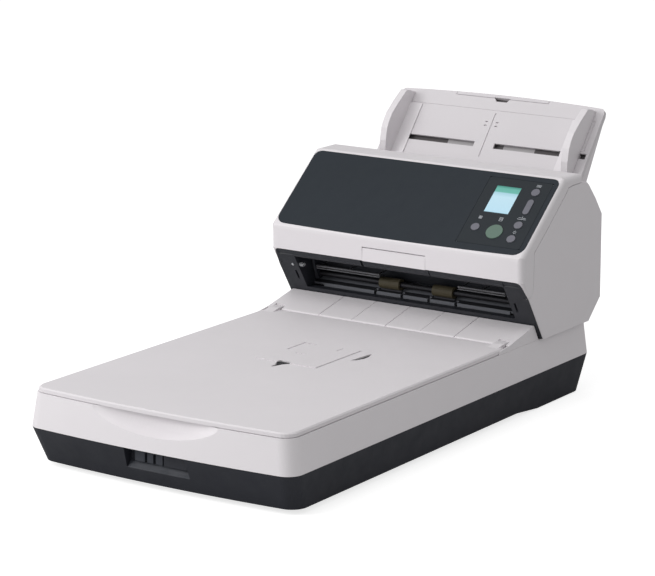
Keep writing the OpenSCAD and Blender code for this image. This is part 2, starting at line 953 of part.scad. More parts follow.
module lcd_module() {
    color([0.72, 0.88, 0.94])
        on_panel(81, 49.8, -1.6)
            cube([27.7, 35.2, 1.45]);
}

module key_board() {
    color([0.10, 0.32, 0.20])
        union() {
            on_panel(73, 12, -7.2)
                cube([63, 79, 1.4]);
            for (k = keys)
                on_panel(k[0] - 2, k[1] - 2, -5.9)
                    cube([4, 4, 1.6]);
            on_panel(79, 47, -5.9)
                cube([32, 40, 4.1]);
        }
}

// round key: a cap through the key plate and a flange under it
module key(i) {
    k = keys[i];
    on_panel(k[0], k[1], -2.9) {
        cylinder(h = 3.6, r = k[2]);
        cylinder(h = 1, r = k[2] + 0.8);
    }
}

module menu_button() {
    color(grey)
        key(0);
}

module stop_button() {
    color(grey)
        key(1);
}

module scan_button() {
    color([0.47, 0.62, 0.50])
        key(2);
}

module feed_mode_button() {
    color(grey)
        key(3);
}

module power_button() {
    color(grey)
        key(4);
}

module rocker() {
    color(grey)
        union() {
            on_panel(0, 0, -3.3)
                linear_extrude(4)
                    rounded(rocker_x - 3.3, rocker_t - 9.8, rocker_x + 3.3, rocker_t + 9.8, 3.25);
            on_panel(rocker_x - 5.4, rocker_t, -2.5)
                rotate([0, 90, 0])
                    cylinder(h = 10.8, r = 0.8);
        }
}

module release_tab() {
    color(white)
        union() {
            translate([-37.4, 129.3, 139])
                cube([74.8, 2.4, 13.8]);
            rod(131.6, 152.2, -40.3, 40.3, 0.9);
            translate([-30, 131.5, 140])
                cube([60, 1.4, 3]);
        }
}

module inner_guide() {
    color(dark)
        difference() {
            union() {
                // upper guide plate
                side_prism(concat(
                    [for (a = [30:4:50]) bend(a, 1.6)],
                    [ramp(-63, 1.6), ramp(-63, 3.6)],
                    [for (a = [50:-4:30]) bend(a, 3.6)]), 122);
                // web up into the cover
                side_prism([bend(31, 3.4), bend(33.5, 3.4), [176, 162], [172, 162]], 122);
                // end plates with the roller bearings
                for (x = [-122, 119])
                    translate([x, 0, 0])
                        side_prism([bend(31, 1.7), bend(50, 1.7), ramp(-72, 1.7),
                            [232, 178], [200, 180], [172, 163], [160, 141], [166, 118],
                            [173, 101.8], [180, 101.9]], 3, 0);
            }
            for (x = [-tyre_x, tyre_x]) {
                rod(brake_c[0], brake_c[1], x - tyre_w / 2 - 0.6, x + tyre_w / 2 + 0.6, 8.6);
                rod(pick_c[0], pick_c[1], x - tyre_w / 2 - 0.6, x + tyre_w / 2 + 0.6, 14);
            }
            rod(brake_c[0], brake_c[1], -130, 130, shaft_r + run);
            rod(idler_c[0], idler_c[1], -130, 130, shaft_r + run);
            on_chute()
                translate([-112, -126, -2])
                    cube([224, 12, 6]);
        }
}

module upper_window() {
    color([0.7, 0.8, 0.82, 0.5])
        on_chute()
            translate([-111.9, -125.9, 1.7])
                cube([223.8, 11.8, 1.9]);
}

module upper_sensor() {
    color([0.2, 0.2, 0.22])
        on_chute()
            difference() {
                translate([-114, -127, 3.7])
                    cube([228, 14, 11.5]);
                translate([-110, -122, 3])
                    cube([220, 4, 4]);
            }
}

module brake_shaft() {
    color(steel)
        rod(brake_c[0], brake_c[1], -121.8, 121.8, shaft_r);
}

module brake_roller() {
    color([0.3, 0.3, 0.3])
        tyres(brake_c, 8);
}

module idler_shaft() {
    color(steel)
        rod(idler_c[0], idler_c[1], -121.8, 121.8, shaft_r);
}

module idler_roller() {
    color(amber)
        tyres(idler_c, idler_r);
}

// ---- paper chute ----

slot_s0 = 12.9;
slot_s1 = 19.4;
pin_s = 16.25;
pitch_r = 9;

module chute_outline(g) {
    polygon(concat(
        [[-chute_foot_half + g, -38 + g], [chute_foot_half - g, -38 + g],
            [chute_foot_half - g, -26], [chute_top_half + 1.8 - g, -20.5],
            [chute_top_half + 1 - g, 68], [chute_top_half - g, 73],
            [chute_top_half - 2.5 - g, 75.1 - g]],
        [for (i = [10:-1:-10]) let (x = i / 10 * 114) [x, 78.5 - g - 2.5 * pow(x / 103, 2)]],
        [[-chute_top_half + 2.5 + g, 75.1 - g], [-chute_top_half + g, 73],
            [-chute_top_half - 1 + g, 68], [-chute_top_half - 1.8 + g, -20.5],
            [-chute_foot_half + g, -26]]));
}

module chute_board() {
    color(white)
        on_chute()
            difference() {
                union() {
                    difference() {
                        translate([0, 0, -chute_thick])
                            linear_extrude(chute_thick)
                                chute_outline(0);
                        translate([0, 0, -chute_thick - 1])
                            linear_extrude(chute_thick + 1 - 2.2)
                                chute_outline(2.5);
                    }
                    translate([0, pin_s, -4.9])
                        cylinder(h = 4, r = 2);
                }
                for (s = [-1, 1])
                    translate([s > 0 ? 12 : -121.5, slot_s0, -3])
                        cube([109.5, slot_s1 - slot_s0, 6]);
                // opening and finger notch of the extension
                translate([-56.5, 73.7, -8])
                    cube([113, 10, 12]);
                finger_notch();
                // seams and centre line
                for (x = [-118, 117.2])
                    translate([x, 22, -0.5])
                        cube([0.8, 36.5, 1]);
                translate([-118, 58.5, -0.5])
                    cube([236, 0.7, 1]);
                translate([-1.1, 1.5, -0.8])
                    cube([2.2, 54, 1]);
                for (x = [-9, 4])
                    for (y = [39.2, 43.8])
                        translate([x, y, -1.7])
                            cube([3.2, 1.4, 3]);
            }
}

// notch for a finger behind the extension's head
module finger_notch() {
    translate([0, 0, -6])
        linear_extrude(8)
            polygon([[-9.5, 74.9], [-5.5, 70], [7, 70], [10.5, 74.9]]);
}

module chute_back() {
    color(white)
        on_chute()
            union() {
                translate([0, 0, -chute_thick - 1.8])
                    linear_extrude(1.75)
                        chute_outline(0.6);
                // skirts at the sides, deeper towards the foot
                intersection() {
                    side_prism([[-20, -5.2], [-19, -16.6], [-12, -17], [62, -6.2], [62, -5.2]],
                        140);
                    translate([0, 0, -20])
                        difference() {
                            linear_extrude(20)
                                chute_outline(0.6);
                            translate([0, 0, -1])
                                linear_extrude(22)
                                    chute_outline(2.9);
                        }
                }
            }
}

module chute_extension() {
    color(white)
        on_chute()
            intersection() {
                union() {
                    translate([-55.9, 33, -4.9])
                        cube([111.8, 50, 2.5]);
                    translate([-55.9, 74.3, -4.9])
                        cube([111.8, 10, 4.9]);
                }
                difference() {
                    translate([0, 0, -9])
                        linear_extrude(12)
                            chute_outline(0);
                    finger_notch();
                }
            }
}

// side guide's fin and foot on the right hand side
module guide_fin() {
    translate([guide_half, 0, 0])
        rotate([90, 0, 90])
            linear_extrude(7.5)
                polygon([[-16, 0.3], [-12, 9.4], [-2, 17.6], [10, 24], [18, 25.8], [28, 26],
                    [44, 22.6], [62.5, 17], [66, 12], [71, 0.3]]);
    translate([guide_half + 0.5, slot_s0 + 0.5, -4.7])
        cube([6.5, slot_s1 - slot_s0 - 1, 5.4]);
    // flat flange covering the slot beside the fin
    translate([guide_half - 14.7, -16, 0.3])
        cube([15.2, 73.5, 0.8]);
}

// rack teeth along X, pointing down, on the pitch line y = 0
module rack(x0, x1) {
    pitch = 2 * PI * pitch_r / 18;
    n0 = ceil(x0 / pitch);
    n1 = floor(x1 / pitch) - 1;
    translate([x0, 0.8])
        square([x1 - x0, 3]);
    for (i = [n0:n1])
        translate([(i + 0.5) * pitch, 0])
            polygon([[-0.85, 0.9], [-0.35, -0.6], [0.35, -0.6], [0.85, 0.9]]);
}

module guide_right() {
    color(white)
        on_chute()
            union() {
                guide_fin();
                translate([guide_half + 0.5, pin_s - pitch_r - 3.8, -4.7])
                    cube([6.5, 14, 2.1]);
                translate([0, pin_s - pitch_r, -4.7])
                    linear_extrude(2.1)
                        mirror([0, 1])
                            rack(-6, guide_half + 1);
            }
}

module guide_left() {
    color(white)
        on_chute()
            union() {
                mirror([1, 0, 0])
                    guide_fin();
                translate([-guide_half - 7, slot_s0 + 0.5, -4.7])
                    cube([6.5, pin_s + pitch_r + 3.8 - slot_s0 - 0.5, 2.1]);
                translate([0, pin_s + pitch_r, -4.7])
                    linear_extrude(2.1)
                        rack(-guide_half - 1, 6);
            }
}

module rack_pinion() {
    color(grey)
        on_chute()
            translate([0, pin_s, -4.7])
                linear_extrude(2.1)
                    difference() {
                        union() {
                            circle(pitch_r - 1);
                            for (i = [0:17])
                                rotate(i * 20 + 90)
                                    translate([pitch_r, 0])
                                        polygon([[-1.2, -0.8], [0.6, -0.35], [0.6, 0.35],
                                            [-1.2, 0.8]]);
                        }
                        circle(2 + run);
                    }
}

lower_case();
upper_case();
platen_glass();
rubber_feet();
case_screws();
stacker_ramp();
carriage_rod();
carriage_motor();
carriage_belt();
main_board();
power_inlet();
data_port();
lid_hinge_pins();
scan_carriage();
carriage_window();
transport_lock();
flatbed_lid();
lid_pad();
stopper();
adf_frame();
lower_guide();
lower_window();
lower_sensor();
side_cover_left();
side_cover_right();
rear_cover();
adf_motor();
cover_pivot_pins();
feed_shaft();
feed_roller();
pick_shaft();
pick_roller();
eject_shaft();
eject_roller();
drive_belt();
front_cover();
panel_bezel();
key_plate();
lcd_module();
key_board();
inner_guide();
upper_window();
upper_sensor();
brake_shaft();
brake_roller();
idler_shaft();
idler_roller();
release_tab();
menu_button();
stop_button();
scan_button();
feed_mode_button();
power_button();
rocker();
chute_board();
chute_back();
chute_extension();
guide_left();
guide_right();
rack_pinion();
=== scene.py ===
"""Looks for the sheet feeder and flatbed scanner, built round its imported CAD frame."""

import math

import bpy
import bmesh
from mathutils import Matrix, Vector


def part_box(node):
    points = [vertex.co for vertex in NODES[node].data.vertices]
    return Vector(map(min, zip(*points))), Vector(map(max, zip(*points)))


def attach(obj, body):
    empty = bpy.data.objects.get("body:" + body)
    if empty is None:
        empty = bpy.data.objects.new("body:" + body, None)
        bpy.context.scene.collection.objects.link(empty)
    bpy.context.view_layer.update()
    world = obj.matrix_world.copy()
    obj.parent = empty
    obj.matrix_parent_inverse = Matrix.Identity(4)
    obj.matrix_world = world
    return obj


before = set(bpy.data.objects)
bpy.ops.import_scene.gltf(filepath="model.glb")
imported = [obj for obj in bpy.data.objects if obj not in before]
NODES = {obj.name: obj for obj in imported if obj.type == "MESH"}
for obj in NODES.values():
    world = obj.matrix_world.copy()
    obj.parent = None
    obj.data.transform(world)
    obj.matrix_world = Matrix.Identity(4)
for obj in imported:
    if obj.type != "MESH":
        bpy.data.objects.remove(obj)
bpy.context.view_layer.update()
MM = 0.001


# ---- materials ----

def srgb(r, g, b):
    """Linear colour from 0-255 display values."""
    out = []
    for v in (r, g, b):
        v /= 255.0
        out.append(v / 12.92 if v <= 0.04045 else ((v + 0.055) / 1.055) ** 2.4)
    return (*out, 1.0)


def new_mat(name):
    """New node material, with its tree and its shader."""
    mat = bpy.data.materials.new(name)
    mat.use_nodes = True
    nt = mat.node_tree
    return mat, nt, nt.nodes["Principled BSDF"]


def link(nt, a, b):
    nt.links.new(a, b)


def noise(nt, scale, detail, vec=None):
    """Noise over the object's own coordinates, or over vec."""
    n = nt.nodes.new("ShaderNodeTexNoise")
    n.inputs["Scale"].default_value = scale
    n.inputs["Detail"].default_value = detail
    n.inputs["Roughness"].default_value = 0.5
    if vec is None:
        tc = nt.nodes.new("ShaderNodeTexCoord")
        vec = tc.outputs["Object"]
    link(nt, vec, n.inputs["Vector"])
    return n


def ramp(nt, src, p0, c0, p1, c1):
    """Two-colour ramp driven by src."""
    r = nt.nodes.new("ShaderNodeValToRGB")
    r.color_ramp.elements[0].position, r.color_ramp.elements[0].color = p0, c0
    r.color_ramp.elements[1].position, r.color_ramp.elements[1].color = p1, c1
    link(nt, src, r.inputs["Fac"])
    return r


def along(nt, axis):
    """The object coordinate along one axis, as a socket."""
    tc = nt.nodes.new("ShaderNodeTexCoord")
    sep = nt.nodes.new("ShaderNodeSeparateXYZ")
    link(nt, tc.outputs["Object"], sep.inputs["Vector"])
    return sep.outputs[axis]


def span(nt, src, low, high):
    """Maps low to high onto 0 to 1."""
    mr = nt.nodes.new("ShaderNodeMapRange")
    mr.inputs["From Min"].default_value = low
    mr.inputs["From Max"].default_value = high
    link(nt, src, mr.inputs["Value"])
    return mr.outputs["Result"]


def faces_towards(nt, direction, limit):
    """1 where the surface faces direction closely enough, else 0."""
    tc = nt.nodes.new("ShaderNodeTexCoord")
    dot = nt.nodes.new("ShaderNodeVectorMath")
    dot.operation = "DOT_PRODUCT"
    dot.inputs[1].default_value = direction
    link(nt, tc.outputs["Normal"], dot.inputs[0])
    test = nt.nodes.new("ShaderNodeMath")
    test.operation = "GREATER_THAN"
    test.inputs[1].default_value = limit
    link(nt, dot.outputs["Value"], test.inputs[0])
    return test.outputs[0]


def painted_shade_mix(nt, where, colour_off, colour_on):
    """Base colour that is colour_on where the factor is 1, used to paint shade; colours are sockets
    or values.
    """
    mix = nt.nodes.new("ShaderNodeMix")
    mix.data_type = "RGBA"
    link(nt, where, mix.inputs[0])
    for slot, colour in ((6, colour_off), (7, colour_on)):
        if isinstance(colour, tuple):
            mix.inputs[slot].default_value = colour
        else:
            link(nt, colour, mix.inputs[slot])
    link(nt, mix.outputs[2], nt.nodes["Principled BSDF"].inputs["Base Color"])


def scale_rgb(c, k):
    return (c[0] * k, c[1] * k, c[2] * k, 1.0)


def grey(v):
    return (v, v, v, 1.0)


def moulded(name, rgb, rough, grain, bump, vary, spec=0.4):
    """Moulded plastic: fine spark-eroded grain, slow colour drift and uneven gloss."""
    mat, nt, bs = new_mat(name)
    drift = noise(nt, 9.0, 2.0)
    col = ramp(nt, drift.outputs["Fac"], 0.3, scale_rgb(rgb, 1 - vary),
               0.7, scale_rgb(rgb, 1 + vary))
    link(nt, col.outputs["Color"], bs.inputs["Base Color"])
    gloss = noise(nt, 60.0, 4.0)
    rr = ramp(nt, gloss.outputs["Fac"], 0.3, grey(rough - 0.06), 0.7, grey(rough + 0.06))
    link(nt, rr.outputs["Color"], bs.inputs["Roughness"])
    fine = noise(nt, grain, 2.0)
    bp = nt.nodes.new("ShaderNodeBump")
    bp.inputs["Strength"].default_value = bump
    bp.inputs["Distance"].default_value = 0.0002
    link(nt, fine.outputs["Fac"], bp.inputs["Height"])
    link(nt, bp.outputs["Normal"], bs.inputs["Normal"])
    bs.inputs["Specular IOR Level"].default_value = spec
    return mat


def metal(name, rgb, rough=0.25):
    """Ground steel: fine lines across one direction break up the gloss."""
    mat, nt, bs = new_mat(name)
    tc = nt.nodes.new("ShaderNodeTexCoord")
    mp = nt.nodes.new("ShaderNodeMapping")
    mp.inputs["Scale"].default_value = (900.0, 30.0, 30.0)
    link(nt, tc.outputs["Object"], mp.inputs["Vector"])
    n = noise(nt, 4.0, 4.0, vec=mp.outputs["Vector"])
    rr = ramp(nt, n.outputs["Fac"], 0.3, grey(rough * 0.7), 0.7, grey(rough * 1.5))
    link(nt, rr.outputs["Color"], bs.inputs["Roughness"])
    cr = ramp(nt, n.outputs["Fac"], 0.2, scale_rgb(rgb, 0.85), 0.8, scale_rgb(rgb, 1.05))
    link(nt, cr.outputs["Color"], bs.inputs["Base Color"])
    bs.inputs["Metallic"].default_value = 1.0
    bp = nt.nodes.new("ShaderNodeBump")
    bp.inputs["Strength"].default_value = 0.08
    bp.inputs["Distance"].default_value = 0.0001
    link(nt, n.outputs["Fac"], bp.inputs["Height"])
    link(nt, bp.outputs["Normal"], bs.inputs["Normal"])
    return mat


def rubber(name, rgb, rough=0.75):
    """Coarse-grained rubber with little shine."""
    return moulded(name, rgb, rough, 900.0, 0.25, 0.12, 0.3)


def glass(name):
    """Slightly green float glass, almost flat."""
    mat, nt, bs = new_mat(name)
    bs.inputs["Base Color"].default_value = (0.30, 0.38, 0.36, 1.0)
    n = noise(nt, 25.0, 2.0)
    rr = ramp(nt, n.outputs["Fac"], 0.4, grey(0.02), 0.7, grey(0.06))
    link(nt, rr.outputs["Color"], bs.inputs["Roughness"])
    bs.inputs["Alpha"].default_value = 0.3
    bs.inputs["IOR"].default_value = 1.5
    bp = nt.nodes.new("ShaderNodeBump")
    bp.inputs["Strength"].default_value = 0.001
    link(nt, n.outputs["Fac"], bp.inputs["Height"])
    link(nt, bp.outputs["Normal"], bs.inputs["Normal"])
    return mat


WHITE = srgb(229, 225, 228)
CHUTE_FACING = (0.0, -0.766, 0.643)  # unit normal of the chute's paper side
M = {
    "white": moulded("white_plastic", WHITE, 0.48, 2400.0, 0.06, 0.012, 0.4),
    "lid": moulded("lid_plastic", srgb(226, 222, 225), 0.55, 1900.0, 0.10, 0.012, 0.4),
    "chute": moulded("chute_plastic", srgb(216, 212, 215), 0.5, 2200.0, 0.05, 0.012, 0.4),
    "dark": moulded("charcoal_plastic", srgb(35, 37, 45), 0.6, 1500.0, 0.16, 0.08, 0.4),
    "lock": moulded("lock_plastic", srgb(50, 53, 61), 0.6, 1500.0, 0.16, 0.08, 0.4),
    "throat": moulded("throat_plastic", srgb(40, 42, 48), 0.55, 1500.0, 0.12, 0.10, 0.4),
    "slate": moulded("slate_panel", srgb(28, 36, 44), 0.5, 3000.0, 0.04, 0.05, 0.35),
    "plate": moulded("key_plate", srgb(29, 36, 42), 0.48, 3000.0, 0.04, 0.05, 0.35),
    "key": moulded("key_plastic", srgb(112, 112, 121), 0.5, 2200.0, 0.06, 0.05),
    "green": moulded("scan_key_plastic", srgb(97, 120, 108), 0.45, 2200.0, 0.05, 0.05),
    "steel": metal("ground_steel", (0.62, 0.63, 0.65, 1.0)),
    "rubber": rubber("black_rubber", srgb(34, 34, 36)),
    "tyre": rubber("roller_rubber", srgb(62, 62, 66)),
    "amber": rubber("amber_rubber", srgb(72, 66, 50), 0.6),
    "axle": metal("blackened_steel", (0.045, 0.045, 0.05, 1.0), 0.55),
    "rail": metal("dull_steel", (0.17, 0.17, 0.18, 1.0), 0.6),
    "mark": moulded("printed_mark", srgb(196, 200, 206), 0.6, 1500.0, 0.05, 0.03),
    "pad": moulded("pad_foam", srgb(238, 238, 234), 0.9, 700.0, 0.4, 0.02, 0.2),
    "board": moulded("circuit_board", srgb(28, 92, 58), 0.4, 500.0, 0.2, 0.2),
    "motor": metal("motor_can", (0.35, 0.36, 0.38, 1.0), 0.4),
    # also gives its dark to the painted shade pieces in the lid's slit and notch
    "sensor": moulded("sensor_housing_and_painted_shade", srgb(30, 30, 34), 0.5, 1500.0, 0.1, 0.1),
    "glass": glass("scan_glass"),
}

USE = {
    "white": "upper_case stacker_ramp side_cover_left side_cover_right rear_cover front_cover "
             "release_tab guide_left guide_right",
    "chute": "chute_board chute_extension",
    "lid": "flatbed_lid stopper",
    "dark": "lower_case",
    "lock": "transport_lock",
    "throat": "adf_frame inner_guide",
    "slate": "panel_bezel",
    "plate": "key_plate",
    "key": "menu_button stop_button feed_mode_button power_button rocker rack_pinion",
    "green": "scan_button",
    "steel": "case_screws carriage_rod lid_hinge_pins cover_pivot_pins feed_shaft pick_shaft "
             "eject_shaft data_port",
    "axle": "brake_shaft idler_shaft",
    "rubber": "rubber_feet carriage_belt drive_belt",
    "tyre": "feed_roller pick_roller eject_roller brake_roller",
    "amber": "idler_roller",
    "pad": "lid_pad",
    "board": "main_board key_board",
    "motor": "carriage_motor adf_motor",
    "sensor": "scan_carriage lower_sensor upper_sensor power_inlet",
    "glass": "platen_glass carriage_window lower_window upper_window",
}


def dress(obj, mat):
    """Gives an object one material in place of any it had."""
    obj.data.materials.clear()
    obj.data.materials.append(mat)


for key, names in USE.items():
    for n in names.split():
        dress(NODES[n], M[key])


def display_mat():
    """Lit display: pale blue page under a green header band."""
    mat, nt, bs = new_mat("display")
    lo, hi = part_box("lcd_module")
    cr = nt.nodes.new("ShaderNodeValToRGB")
    el = cr.color_ramp.elements
    el[0].position, el[0].color = 0.0, srgb(144, 186, 204)
    el[1].position, el[1].color = 1.0, srgb(60, 120, 110)
    for pos, c in ((0.10, srgb(170, 203, 218)), (0.62, srgb(175, 205, 218)),
                   (0.76, srgb(152, 190, 202)), (0.79, srgb(98, 166, 154)),
                   (0.92, srgb(92, 160, 148))):
        el.new(pos).color = c
    link(nt, span(nt, along(nt, "Z"), lo[2], hi[2]), cr.inputs["Fac"])
    link(nt, cr.outputs["Color"], bs.inputs["Base Color"])
    link(nt, cr.outputs["Color"], bs.inputs["Emission Color"])
    bs.inputs["Emission Strength"].default_value = 0.32
    n = noise(nt, 500.0, 1.0)
    rr = ramp(nt, n.outputs["Fac"], 0.3, grey(0.12), 0.7, grey(0.2))
    link(nt, rr.outputs["Color"], bs.inputs["Roughness"])
    return mat


dress(NODES["lcd_module"], display_mat())


def slot_mat():
    """Backing of the chute: white, with painted shade in dark and half-dark bands where the guide
    slots show it.
    """
    mat = moulded("slot_backing", WHITE, 0.6, 1500.0, 0.1, 0.08)
    nt = mat.node_tree
    cr = nt.nodes.new("ShaderNodeValToRGB")
    cr.color_ramp.interpolation = "CONSTANT"
    el = cr.color_ramp.elements
    # painted shade in two depths, banded across X, only on the faces seen through the slots
    shade, half_shade = srgb(88, 84, 86), srgb(176, 173, 175)
    half = 150
    el[0].position, el[0].color = 0.0, shade
    el[1].position, el[1].color = (half - 48) / (2 * half), half_shade
    for x, colour in ((-11, shade), (20, half_shade), (58, shade)):
        el.new((half + x) / (2 * half)).color = colour
    link(nt, span(nt, along(nt, "X"), -half * MM, half * MM), cr.inputs["Fac"])
    painted_shade_mix(nt, faces_towards(nt, CHUTE_FACING, 0.9), WHITE, cr.outputs["Color"])
    return mat


dress(NODES["chute_back"], slot_mat())


def sill_mat():
    """Exit guide: grey lip in front, with painted shade near black on its level top."""
    mat = moulded("guide_plastic", srgb(104, 106, 112), 0.45, 1800.0, 0.08, 0.06)
    nt = mat.node_tree
    body = nt.nodes["Principled BSDF"].inputs["Base Color"].links[0].from_socket
    # painted shade: faces that look straight up turn near black
    painted_shade_mix(nt, faces_towards(nt, (0.0, 0.0, 1.0), 0.93), body, srgb(34, 35, 39))
    return mat


dress(NODES["lower_guide"], sill_mat())


# ---- printed marks on the key plate ----

# from the foot of the panel's slope, tilted by its rise over its run
PANEL = Matrix.Translation(Vector((0.0, 131.2, 166.9))) @ Matrix.Rotation(
    math.atan2(64.0, 79.3), 4, "X")


def skin(bm, first, last):
    """Closes the body between two matching rings of corners."""
    bm.faces.new(first[::-1])
    bm.faces.new(last)
    for i in range(len(first)):
        j = (i + 1) % len(first)
        bm.faces.new((first[i], first[j], last[j], last[i]))


def prism(bm, outline, z0, z1):
    """Straight-sided block over an outline in X and Y."""
    skin(bm, [bm.verts.new((x, y, z0)) for x, y in outline],
         [bm.verts.new((x, y, z1)) for x, y in outline])


def strip(bm, pts, w, h, base):
    """Flat printed stroke of width w along pts, with round ends, h thick."""
    for (x0, y0), (x1, y1) in zip(pts, pts[1:]):
        heading = math.degrees(math.atan2(y1 - y0, x1 - x0))
        ring = arc(x1, y1, w / 2, heading - 90, heading + 90, 8)
        ring += arc(x0, y0, w / 2, heading + 90, heading + 270, 8)
        prism(bm, ring, base, base + h)


def arc(x, y, r, a0, a1, n=12):
    """Points of an arc from angle a0 to a1, in degrees."""
    return [(x + r * math.cos(math.radians(a0 + (a1 - a0) * i / n)),
             y + r * math.sin(math.radians(a0 + (a1 - a0) * i / n))) for i in range(n + 1)]


def piece(name, bm, mat, body, place):
    """Turns a mesh in millimetres into a dressed object that rides on a body."""
    me = bpy.data.meshes.new(name)
    bm.transform(Matrix.Scale(MM, 4) @ place)
    bmesh.ops.recalc_face_normals(bm, faces=bm.faces)
    bm.to_mesh(me)
    bm.free()
    ob = bpy.data.objects.new(name, me)
    bpy.context.scene.collection.objects.link(ob)
    dress(ob, mat)
    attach(ob, body)
    return ob


def box_path(x, y, w, h):
    """Closed rectangle of half-sizes w and h."""
    return [(x - w, y - h), (x + w, y - h), (x + w, y + h), (x - w, y + h), (x - w, y - h)]


MARK_WIDTH = 0.42
MARK_LIFT = 0.01
MARK_THICK = 0.04
# strokes in the plane of the panel, each as a path
MARKS = {
    "menu_mark": [[(123.9, 90.2 + k), (128.9, 90.2 + k)] for k in (-1.2, 0, 1.2)],
    "stop_mark": [box_path(81.1, 41.6, 1.5, 1.5), [(80.3, 40.8), (81.9, 42.4)],
                  [(80.3, 42.4), (81.9, 40.8)]],
    "scan_mark": [box_path(104.5, 42.2, 1.7, 2.2), [(103.5, 43), (105.5, 43)],
                  [(103.5, 41.8), (105.5, 41.8)]],
    "feed_mark": [[(121.6, 45.4), (131.2, 45.4)], [(122.6, 47.2), (130.2, 47.2)],
                  [(126.4, 49), (126.4, 47.4)]],
    "power_mark": [arc(126.4, 28, 1.5, 125, 415), [(126.4, 28.2), (126.4, 30)]],
}
for name, strokes in MARKS.items():
    bm = bmesh.new()
    for pts in strokes:
        strip(bm, pts, MARK_WIDTH, MARK_THICK, MARK_LIFT)
    piece(name, bm, M["mark"], "cover", PANEL)


# ---- small parts not carried by the frame ----

def tube(bm, pts, r, n=10):
    """Round bar of radius r swept along pts, closed at both ends."""
    rings = []
    for i, p in enumerate(pts):
        p = Vector(p)
        d = (Vector(pts[min(i + 1, len(pts) - 1)]) - Vector(pts[max(i - 1, 0)])).normalized()
        a = d.orthogonal() if abs(d.x) < 0.9 else Vector((0.0, 1.0, 0.0))
        a = (a - d * a.dot(d)).normalized()
        b = d.cross(a)
        rings.append([bm.verts.new(p + (a * math.cos(2 * math.pi * k / n)
                                        + b * math.sin(2 * math.pi * k / n)) * r)
                      for k in range(n)])
    for lo, hi in zip(rings, rings[1:]):
        for k in range(n):
            j = (k + 1) % n
            bm.faces.new((lo[k], lo[j], hi[j], hi[k]))
    bm.faces.new(rings[0][::-1])
    bm.faces.new(rings[-1])


# places in millimetres, in the frame of the part
FLAT = Matrix.Identity(4)
LID_TOP = 78.3
RECESS = LID_TOP - 1.38  # floors of the openings beside the stopper
BASE_FRONT = -282.0
FRONT_Y = 130.0  # front edge of the feeder, where its front starts to slant back
FRONT_Z = 139.4
LEAN = 0.6804


def lid_slit_shade():
    """Painted shade: dark strip along the floor of the slit beside the stopper, with a raised
    spine.
    """
    bm = bmesh.new()
    prism(bm, [(46.7, -21), (47.9, -8), (49.2, 9.6), (50.2, 10), (52.8, 0), (53, -7.6),
               (50.4, -17)], RECESS, LID_TOP - 1.1)
    prism(bm, [(48.8, -14), (50.1, 4), (50.9, 4), (50.2, -14)], LID_TOP - 1.1, LID_TOP - 0.9)
    piece("lid_slit_shade", bm, M["sensor"], "lid", FLAT)


def lid_notch_shade():
    """Painted shade: dark floor of the finger notch in front of the stopper."""
    bm = bmesh.new()
    prism(bm, [(-8.6, -66.9), (4.2, -66.9), (0.1, -72.6), (-2.7, -83.2), (-4.2, -83.2),
               (-4.6, -76)], RECESS, LID_TOP - 1.2)
    prism(bm, [(-8.2, -66.5), (4.0, -66.5), (1.2, -70), (-6.4, -70)], LID_TOP - 1.2, LID_TOP - 0.7)
    prism(bm, [(-9.2, -66.1), (5.0, -66.1), (4.2, -61.9), (-7.9, -61.3)], LID_TOP - 1.55,
          LID_TOP - 0.5)
    piece("lid_notch_shade", bm, M["sensor"], "lid", FLAT)


def slant(z):
    """Depth of the feeder's slanting front at height z."""
    return FRONT_Y + (FRONT_Z - z) * LEAN


def throat_spring():
    """Small counterbalance spring beside the left cheek."""
    bm = bmesh.new()
    x, y, z = -124.6, 146.4, 121.4
    length, radius, steps = 5.4, 1.9, 54
    pts = [(x + length * t / steps, y + radius * math.cos(t * math.pi / 6),
            z + radius * math.sin(t * math.pi / 6)) for t in range(steps + 1)]
    tube(bm, pts, 0.45, 8)
    piece("throat_spring", bm, M["steel"], "base", FLAT)


def cheek_rivet():
    """Rivet with a stepped head in the face of the left cheek."""
    bm = bmesh.new()
    x, z = -131.6, 121.0
    y = slant(z) + 0.6
    out_y, out_z = 0.83, 0.56
    for r, h in ((1.6, 0.25), (1.3, 0.55), (0.8, 0.75)):
        tube(bm, [(x, y + out_y, z + out_z), (x, y - out_y * h, z - out_z * h)], r, 16)
    piece("cheek_rivet", bm, M["steel"], "base", FLAT)


def throat_rail():
    """Twin wire rails over the sheet exit, on arms from the inner guide."""
    bm = bmesh.new()
    y, upper, lower = 165.0, 117.6, 115.2
    for x0, x1 in ((-116.0, -38.0), (56.0, 111.0)):
        for z, r in ((upper, 1.3), (lower, 0.8)):
            tube(bm, [(x0, y, z), (x1, y, z)], r, 12)
        for x in (x0 + 3.0, (x0 + x1) / 2, x1 - 3.0):
            tube(bm, [(x, y, lower), (x, y, upper), (x, y + 22.0, upper + 1.8)], 0.7, 8)
    piece("throat_rail", bm, M["rail"], "cover", FLAT)


def profile_bar(bm, prof, x0, x1):
    """Bar along X from an outline in Y and Z."""
    skin(bm, [bm.verts.new((x0, y, z)) for y, z in prof],
         [bm.verts.new((x1, y, z)) for y, z in prof])


def cheek_caps():
    """Dark fillers that carry the cover's slanting end down over the pivots."""
    bm = bmesh.new()
    inner, joint = 125.6, 144.0
    round_the_pivot = arc(143, 131, 8.8, 119, 159, 6)
    # edge of the slanting plate beside the cover's narrow rim, in X and Z
    rim = [(joint, 138.3), (145.9, 136.6), (146.9, 133.4), (147.7, 128.4), (148.4, 122.4),
           (148.8, 119.8), (147.0, 119.8), (146.8, 122.4), (joint, 122.4)]
    for s in (-1, 1):
        profile_bar(bm, [(131.1, 138.7)] + round_the_pivot, s * inner, s * joint)
        skin(bm, [bm.verts.new((s * x, slant(z) + 0.5, z)) for x, z in rim],
             [bm.verts.new((s * x, slant(z) + 3.0, z)) for x, z in rim])
    piece("cheek_caps", bm, M["throat"], "cover", FLAT)


